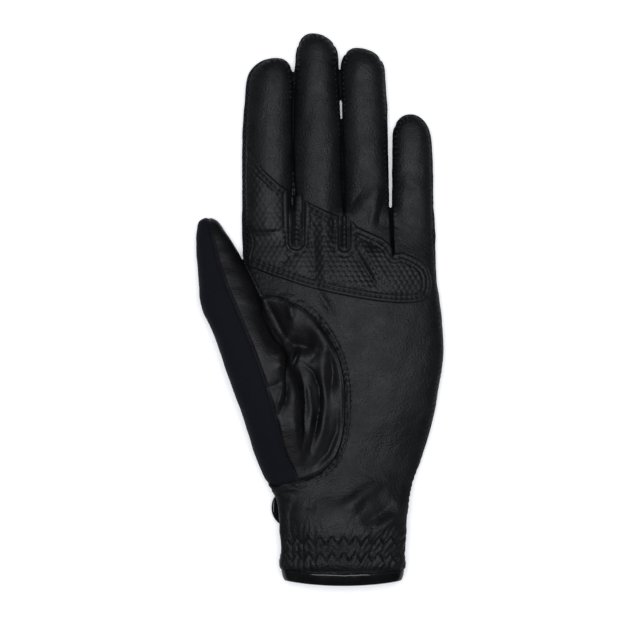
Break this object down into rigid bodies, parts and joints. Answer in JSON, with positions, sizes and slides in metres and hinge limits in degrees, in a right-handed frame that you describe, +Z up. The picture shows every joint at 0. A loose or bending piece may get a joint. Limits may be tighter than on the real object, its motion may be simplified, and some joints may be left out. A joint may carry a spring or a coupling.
{
  "type": "riding glove",
  "caption": "Left-hand riding glove lying palm up, with leather palm, embossed grip patch, fabric back, gathered wrist and closure strap.",
  "frame": {"origin": "centre of the glove's box at its base, on the surface it lies on", "axes": "+Y from the hem to the fingertips, +X away from the thumb, +Z up out of the palm"},
  "size_m": [0.1076, 0.2398, 0.0236],
  "materials": {
    "palm_leather": "fine-grained black synthetic leather, satin",
    "thumb_leather": "soft creased black synthetic leather, slightly shinier",
    "embossed_leather": "black leather embossed with a small honeycomb, matte",
    "navy_fabric": "dark navy stretch fabric, matte",
    "patent_leather": "glossy black patent"
  },
  "bodies": {
    "root": {"palm_panel": "palm_leather", "thumb_front": "thumb_leather", "thumb_back": "navy_fabric", "back_panel": "navy_fabric", "fourchette_index_middle": "navy_fabric", "fourchette_middle_ring": "navy_fabric", "fourchette_ring_little": "navy_fabric", "grip_patch": "embossed_leather", "cuff_binding": "patent_leather", "closure_strap": "patent_leather"}
  },
  "joints": []
}
